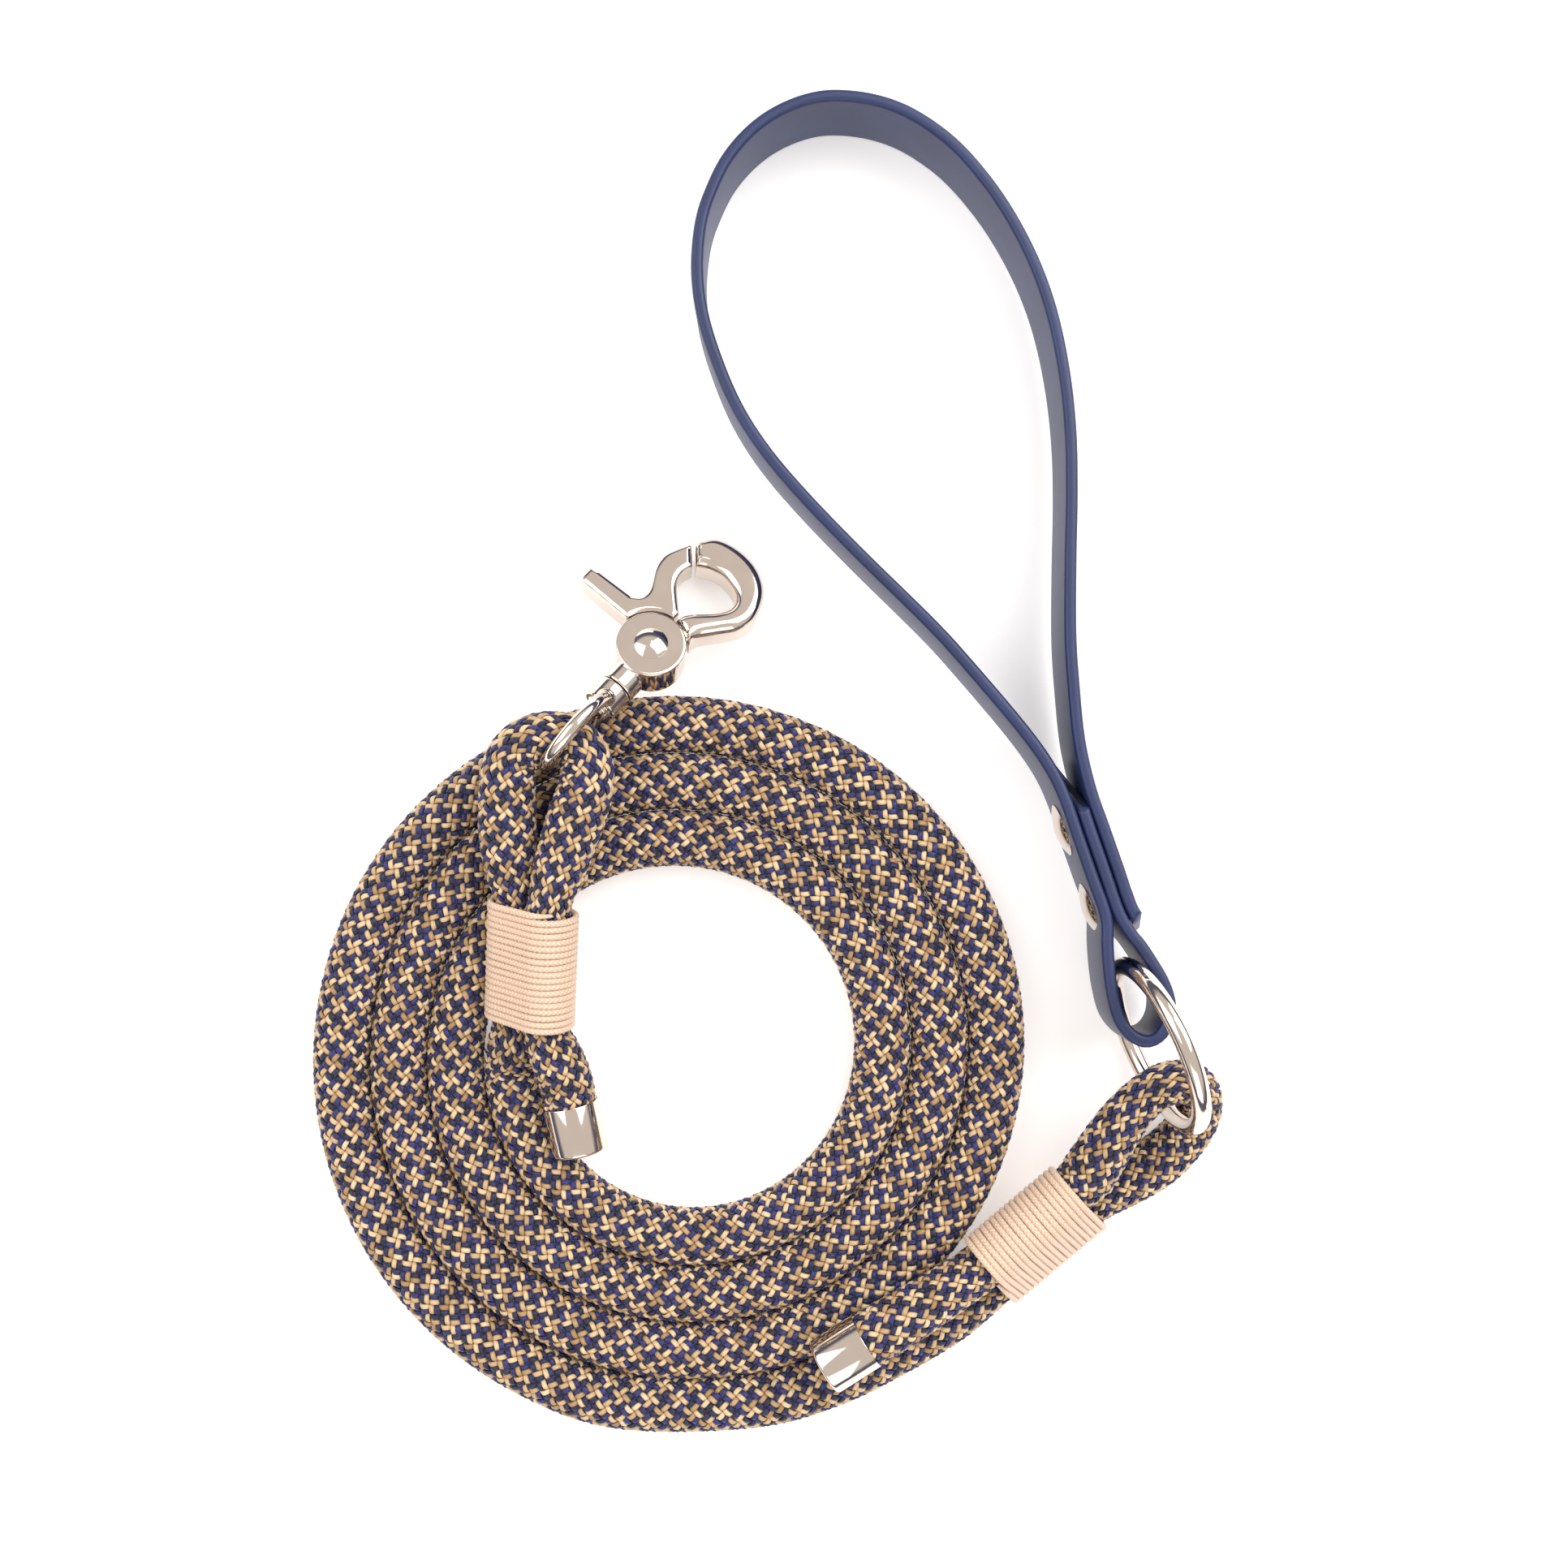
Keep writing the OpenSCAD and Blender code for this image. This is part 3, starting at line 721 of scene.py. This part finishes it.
# %% [markdown]
# ## The snap's body
# The body is cast in one piece: two round cheeks with a slot for the trigger, a barrel for the
# swivel, and a hook whose bar has soft, broad edges. Each part is a flat outline with rounded
# edges. They are then skinned over together, and the skin is softened as polishing softens a
# casting.
# %% Snap body
CHEEK_R_MM = 7.15
CHEEK_TOP_MM = 4
SLOT_TOP_MM = 1.5
BARREL_R_MM = 3.75
cheek = arc(0, 0, CHEEK_R_MM, 0, 360, 64)[:-1]
hook_outside = [(5.4, -5.5), (7.7, -5.7), (11.1, -8.3), (14.9, -11.2), (19.3, -11.9),
                (24.6, -9.7), (27.9, -5.4), (29, 0), (28, 5.3), (24.4, 8.5)]
hook_inside = [(20.2, 4.8), (21.5, 2.1), (21.8, -1.6), (20.2, -5.7), (17.6, -6.9),
               (14.6, -5.4), (10.4, -1.1), (7.9, -0.1)]
hook = [*smooth_line(hook_outside, 8), *smooth_line(hook_inside, 8)]
rim = arc(0, 0, CHEEK_R_MM, 135, 360) + arc(0, 0, 6.6, 360, 135)
body_parts = [slab(cheek, SLOT_TOP_MM, CHEEK_TOP_MM, 0.4),
              slab(cheek, -CHEEK_TOP_MM, -SLOT_TOP_MM, 0.4),
              slab(hook, -3.9, 3.9, 1.9, 6), slab(rim, -3, 3, 0.05),
              barrel(-6.9, -10.8, BARREL_R_MM, 0.35)]
snap_casting = cast_together("snap_casting", body_parts, 0.17, 5, on_snap)
finish_piece(snap_casting, "snap", nickel, ["snap_body"])
print("snap body faces:", len(snap_casting.data.polygons))

# %% [markdown]
# ## The trigger
# The trigger is a flat disc inside the slot that grows, outside the hub, into a thumb tab on
# one side and the gate that closes the hook on the other. Both have broad bevels.
# %% Trigger
gate_inside = [(9.4, 0.4), (14, 4.8), (16.7, 5.9), (19.6, 5.3)]
gate_outside = [(23.6, 8.7), (21.3, 10), (17.9, 11.2), (14.3, 10.7), (9.9, 8.5), (7.5, 8.6),
                (6.1, 10.3)]
lever = [(0, 0), (5, 0.4), *smooth_line(gate_inside, 6), *smooth_line(gate_outside, 6),
         (6.1, 18.8), (5.7, 20.8), (3.1, 20.8), (2, 20.2), (1.5, 8.2)]
outer_lever = [(7.6, 0.5), *lever[2:], (1.5, 7.45), *arc(0, 0, 7.55, 77, 7, 16)]
trigger_parts = [slab(arc(0, 0, 6.2, 0, 360, 64)[:-1], -1.35, 1.35, 0.15),
                 slab(lever, -1.35, 1.35, 0.1), slab(outer_lever, -3.3, 3.3, 0.95, 1)]
trigger = cast_together("snap_trigger", trigger_parts, 0.15, 3, on_snap)
finish_piece(trigger, "trigger", nickel, ["trigger_lever"])
print("trigger faces:", len(trigger.data.polygons))

# %% [markdown]
# ## The swivel eye
# The eye is a round bar bent into a ring and grown into a collar, which turns on the snap's
# post. The ring is thickest where it leaves the collar.
# %% Eye
EYE_X_MM = -23.2
EYE_R_MM = 9
EYE_BAR_R_MM = 1.45
start_clean()
bpy.ops.mesh.primitive_torus_add(location=(EYE_X_MM, 0, 0), rotation=(math.pi / 2, 0, 0),
                                 major_radius=EYE_R_MM, minor_radius=EYE_BAR_R_MM,
                                 major_segments=96, minor_segments=24)
bpy.ops.object.transform_apply(location=True, rotation=True, scale=True)
eye_bar = bpy.context.object
bar_points = np.array([p.co for p in eye_bar.data.vertices])
ring_angle = np.arctan2(bar_points[:, 2], bar_points[:, 0] - EYE_X_MM)
bar_middle = np.stack([EYE_R_MM * np.cos(ring_angle) + EYE_X_MM, 0 * ring_angle,
                       EYE_R_MM * np.sin(ring_angle)], 1)
swell = 1 + 0.35 * np.exp(-(ring_angle / 0.55) ** 2)
bar_points = bar_middle + (bar_points - bar_middle) * swell[:, None]
eye_bar.data.vertices.foreach_set("co", bar_points.ravel())
eye_parts = [eye_bar, barrel(-11, -16, BARREL_R_MM, 0.3), barrel(-15.4, -17.2, 2.6, 0.5)]
eye = cast_together("swivel_eye_casting", eye_parts, 0.14, 4, on_eye)
finish_piece(eye, "eye", nickel, ["swivel_eye"])
print("eye faces:", len(eye.data.polygons))

# %% [markdown]
# ## The end caps
# Each end of the rope is pressed into a drawn metal cup. The cup starts as a cylinder: its open
# end is inset and pushed down to make the wall, and the rims are bevelled, as drawing leaves
# them rounded.
# %% End caps
CUP_R_MM = 5.75
CUP_DEEP_MM = 10.3
CUP_WALL_MM = 0.35


def off_axis(point):
    return math.hypot(point.x, point.y)


def on_foot(one, other):
    """An edge of the closed end's outer rim."""
    flat = abs(one.z - other.z) < 1e-4
    return flat and one.z < 0.01 and off_axis(one) > 5.7 and off_axis(other) > 5.7


def on_mouth(one, other):
    """An edge that goes round the open end."""
    return one.z > 10.2 and other.z > 10.2 and abs(off_axis(one) - off_axis(other)) < 0.01


def end_cup(name, tip, inner, replaced):
    tip, inner = Vector(tip), Vector(inner)
    out = (tip - inner).normalized()
    start_clean()
    bpy.ops.mesh.primitive_cylinder_add(vertices=72, radius=CUP_R_MM, depth=CUP_DEEP_MM,
                                        location=(0, 0, CUP_DEEP_MM / 2))
    cup = bpy.context.object
    cup.name = cup.data.name = name
    bpy.ops.object.transform_apply(location=True, rotation=True, scale=True)
    bpy.ops.object.mode_set(mode="EDIT")
    bpy.ops.mesh.select_mode(type="FACE")
    bpy.ops.mesh.select_all(action="DESELECT")
    sheet = bmesh.from_edit_mesh(cup.data)
    for face in sheet.faces:
        face.select_set(face.normal.z > 0.9)
    bmesh.update_edit_mesh(cup.data)
    bpy.ops.mesh.inset(thickness=CUP_WALL_MM)
    bpy.ops.mesh.extrude_region_move(TRANSFORM_OT_translate={"value": (0, 0, -9.9)})
    select_edges(on_foot)
    bpy.ops.mesh.bevel(offset=0.7, segments=5, affect="EDGES")
    select_edges(on_mouth)
    bpy.ops.mesh.bevel(offset=0.12, segments=2, affect="EDGES")
    bpy.ops.mesh.select_all(action="SELECT")
    bpy.ops.mesh.normals_make_consistent(inside=False)
    bpy.ops.object.mode_set(mode="OBJECT")
    start = tip + out * CUP_WALL_MM
    turn = (-out).to_track_quat("Z", "Y").to_matrix().to_4x4()
    cup.data.transform(to_metres @ Matrix.Translation(start) @ turn)
    cup.data.shade_smooth()
    start_clean()
    cup.select_set(True)
    bpy.context.view_layer.objects.active = cup
    bpy.ops.object.shade_smooth_by_angle(angle=math.radians(35))
    return finish_piece(cup, "rope", nickel, [replaced])


cups = [end_cup("snap_end_cap_cup", SNAP_END_MM[0], SNAP_END_MM[1], "snap_end_cap"),
        end_cup("ring_end_cap_cup", RING_END_MM[-1], RING_END_MM[-2], "ring_end_cap")]
print("end caps:", [cup.name for cup in cups])

# %% [markdown]
# ## Coated webbing
# The handle is a flat strap of woven polyester inside a thick soft plastic coating. Its edges
# are rounded, and its skin is matte with a very fine grain. The strap's path is listed point by
# point, because a strap bent on its flat keeps its width upright.
# %% The strap's path
LAYER_MM = 2.7
RUN_MIDDLE = np.array((42.6, -49.6))
RUN_ANGLE = math.radians(-71)
RUN_DIR = np.array((math.cos(RUN_ANGLE), math.sin(RUN_ANGLE)))
RUN_SIDE = np.array((-RUN_DIR[1], RUN_DIR[0]))
RUN_HALF_MM = 12.5


def on_layer(along, layer):
    return RUN_MIDDLE + along * RUN_DIR + layer * LAYER_MM * RUN_SIDE


def layer_run(begin, end, layer):
    """Four points along one of the three layers that the rivets hold together."""
    return [on_layer(begin + (end - begin) * k / 3, layer) for k in range(4)]


SMALL_LOOP = [(51.7, -64.9), (53.4, -67), (55.6, -70.3), (58, -74.5), (59.2, -78.5),
              (58.9, -82.2), (57.2, -85), (54.7, -86.1), (52, -85.2), (49.3, -81.9),
              (47.9, -76.9), (47.2, -71.7), (46.9, -67)]
BIG_LOOP = [(35.5, -31.6), (30, -23.9), (19.7, -11.7), (12, -3.2), (-3, 11.6), (-14, 23.1),
            (-21.4, 32), (-26.8, 40.6), (-30.8, 50), (-33.6, 59.3), (-34.6, 68.4),
            (-33.8, 77.6), (-31.6, 84.4), (-28.5, 90.5), (-24.1, 95.7), (-19, 99.5),
            (-12.9, 102.1), (-6.7, 103), (1.3, 102), (8.7, 99.1), (16.4, 93.6), (22.8, 86.5),
            (28.1, 78.7), (32.9, 69.2), (36.4, 59), (38.8, 47.1), (40, 35.1), (40.2, 23),
            (39.9, 9.9), (39.8, -5), (40.4, -15.4), (41.5, -26.5)]
strap_points = [(38, -30.8), *layer_run(-RUN_HALF_MM, RUN_HALF_MM, 1), *SMALL_LOOP,
                *layer_run(RUN_HALF_MM, -RUN_HALF_MM, 0), *BIG_LOOP,
                *layer_run(-RUN_HALF_MM, RUN_HALF_MM, 2), (54.4, -63.4), (55.8, -65.4)]
strap_line = even_steps(smooth_line(strap_points, 6), 1)
STRAP_LENGTH_MM = lengths_along(strap_line)[-1]
# The strap lies on the floor at its far end and leans up to the ring at the other.
LEAN_ABOUT_Y_MM = 104.3
LEAN = math.radians(-1.48)
lean = Matrix.Translation((0, LEAN_ABOUT_Y_MM, 0)) @ Matrix.Rotation(LEAN, 4, "X") \
    @ Matrix.Translation((0, -LEAN_ABOUT_Y_MM, 0))
lean = np.array(lean)
print("strap length in mm:", round(STRAP_LENGTH_MM))

# %% [markdown]
# ## The strap
# Its section is a rectangle 19 by 2.5 mm with well-rounded edges. It is swept along the path,
# and both cut ends slant, so near an end the points slide back along the path as they rise.
# %% The strap's skin
STRAP_W_MM = 19
STRAP_T_MM = 2.5
INNER_SLANT_MM = 10.6
OUTER_SLANT_MM = 5.3
SLANT_FADES_MM = 30
strap_along = lengths_along(strap_line)
strap_out = unit(np.gradient(strap_line, axis=0))
strap_out = np.stack([-strap_out[:, 1], strap_out[:, 0]], 1)


def rounded_section(width, thick, corner, steps):
    """Points round a rectangle with rounded corners: (across its thickness, up its width)."""
    section = []
    for cx, cz, first in ((1, 1, 0), (-1, 1, 90), (-1, -1, 180), (1, -1, 270)):
        for k in range(steps + 1):
            angle = math.radians(first + 90 * k / steps)
            section.append((cx * (thick / 2 - corner) + corner * math.cos(angle),
                            width / 2 + cz * (width / 2 - corner) + corner * math.sin(angle)))
    return np.array(section)


def swept_strap(name, section):
    """A section swept along the strap's path, with both ends cut on their slants."""
    stops = np.linspace(0, STRAP_LENGTH_MM, round(STRAP_LENGTH_MM) + 1)[:, None]
    rise = section[None, :, 1] / STRAP_W_MM
    near_start = np.clip(1 - stops / SLANT_FADES_MM, 0, 1)
    near_end = np.clip(1 - (STRAP_LENGTH_MM - stops) / SLANT_FADES_MM, 0, 1)
    along = stops + INNER_SLANT_MM * rise * near_start - OUTER_SLANT_MM * rise * near_end
    flat = np.stack([np.interp(along, strap_along, strap_line[:, k]) for k in (0, 1)], -1)
    out = np.stack([np.interp(along, strap_along, strap_out[:, k]) for k in (0, 1)], -1)
    flat = flat + section[None, :, :1] * out
    rings = np.dstack([flat, np.broadcast_to(section[:, 1], flat.shape[:2])])
    rings = rings @ lean[:3, :3].T + lean[:3, 3]
    return tube_piece(name, rings)


strap_skin = swept_strap("strap_coating", rounded_section(STRAP_W_MM, STRAP_T_MM, 0.9, 4))
make_outward(strap_skin)
coating, tree, shader = new_finish("soft_plastic_coating", "#1f2b58", 0.42)
place = add_node(tree, "ShaderNodeTexCoord")
# Grain of about 0.3 mm, and broad uneven patches about 15 mm across.
grain = add_node(tree, "ShaderNodeTexNoise", {"Vector": place.outputs["Object"],
                 "Scale": 3200.0, "Detail": 2.0})
patch = add_node(tree, "ShaderNodeTexNoise", {"Vector": place.outputs["Object"], "Scale": 70.0,
                 "Detail": 3.0})
tone = add_node(tree, "ShaderNodeValToRGB", {"Fac": patch.outputs["Fac"]})
tone.color_ramp.elements[0].color = linear("#1a2548")
tone.color_ramp.elements[1].color = linear("#253363")
tree.links.new(tone.outputs["Color"], shader.inputs["Base Color"])
bump = add_node(tree, "ShaderNodeBump", {"Height": grain.outputs["Fac"], "Strength": 0.35,
                "Distance": 0.00008})
tree.links.new(bump.outputs["Normal"], shader.inputs["Normal"])
finish_piece(strap_skin, "handle", coating, ["handle_strap"])
print("strap faces:", len(strap_skin.data.polygons))

# %% [markdown]
# ## The cut ends of the strap
# Where the strap is cut, the black weave inside shows as a dark line. The CAD has its shape, so
# it only needs a finish: dull and coarse, as cut polyester yarn is.
# %% The woven core
webbing, tree, shader = new_finish("polyester_webbing_black", "#141417", 0.85)
place = add_node(tree, "ShaderNodeTexCoord")
weave = add_node(tree, "ShaderNodeTexNoise", {"Vector": place.outputs["Object"], "Scale": 2600.0,
                 "Detail": 3.0})
bump = add_node(tree, "ShaderNodeBump", {"Height": weave.outputs["Fac"], "Strength": 0.9,
                "Distance": 0.0003})
tree.links.new(bump.outputs["Normal"], shader.inputs["Normal"])
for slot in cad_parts["strap_core"].material_slots:
    slot.material = webbing
print("core of the strap:", webbing.name)

# %% [markdown]
# ## The floor
# The lead lies on a plain floor of white paper. The paper glows a little, as it would if it
# were lit from below too, which keeps the shadows pale.
# %% Floor
start_clean()
bpy.ops.mesh.primitive_plane_add(size=6, location=(0, 0, -0.0002))
floor = bpy.context.object
floor.name = "studio_floor"
bpy.ops.object.transform_apply(location=True, rotation=True, scale=True)
floor_finish, tree, shader = new_finish("matte_paper", "#f7f6f6", 0.9)
shader.inputs["Emission Color"].default_value = linear("#ffffff")
shader.inputs["Emission Strength"].default_value = 0.3
floor.data.materials.append(floor_finish)
print("floor:", floor.name)

# %% [markdown]
# ## Room and lights
# Polished metal shows what stands round it, so the room matters as much as the lights do. It is
# a warm white overhead, and a cool grey near the floor, which draws the dark outlines round the
# snap's edges. Three large soft lights stand on the right, on the left and in front.
# %% Lights
world = bpy.data.worlds.new("studio_room")
world.use_nodes = True
bpy.context.scene.world = world
backdrop = world.node_tree.nodes["Background"]
backdrop.inputs["Strength"].default_value = 0.95
direction = add_node(world.node_tree, "ShaderNodeTexCoord")
height = add_node(world.node_tree, "ShaderNodeSeparateXYZ",
                  {"Vector": direction.outputs["Generated"]})
room = add_node(world.node_tree, "ShaderNodeValToRGB", {"Fac": height.outputs["Z"]})
room.color_ramp.elements[0].position = 0.22
room.color_ramp.elements[0].color = linear("#6a6d7c")
room.color_ramp.elements[1].position = 0.42
room.color_ramp.elements[1].color = linear("#f0e8e1")
world.node_tree.links.new(room.outputs["Color"], backdrop.inputs["Color"])


def softbox(name, place, size, power):
    """A square soft light in metres and watts, turned towards the middle of the floor."""
    light = bpy.data.lights.new(name, "AREA")
    light.shape = "SQUARE"
    light.size = size
    light.energy = power
    lamp = bpy.data.objects.new(name, light)
    bpy.context.scene.collection.objects.link(lamp)
    lamp.location = place
    lamp.rotation_euler = (-Vector(place)).to_track_quat("-Z", "Y").to_euler()
    print(name, "in watts:", power)


softbox("softbox_top_right", (0.9, 0.8, 1.2), 1.5, 28)
softbox("softbox_top_left", (-1.1, 0.3, 1.1), 1.3, 10)
softbox("softbox_front", (0.1, -1.3, 0.9), 1.2, 6)
bpy.context.scene.view_settings.view_transform = "Standard"
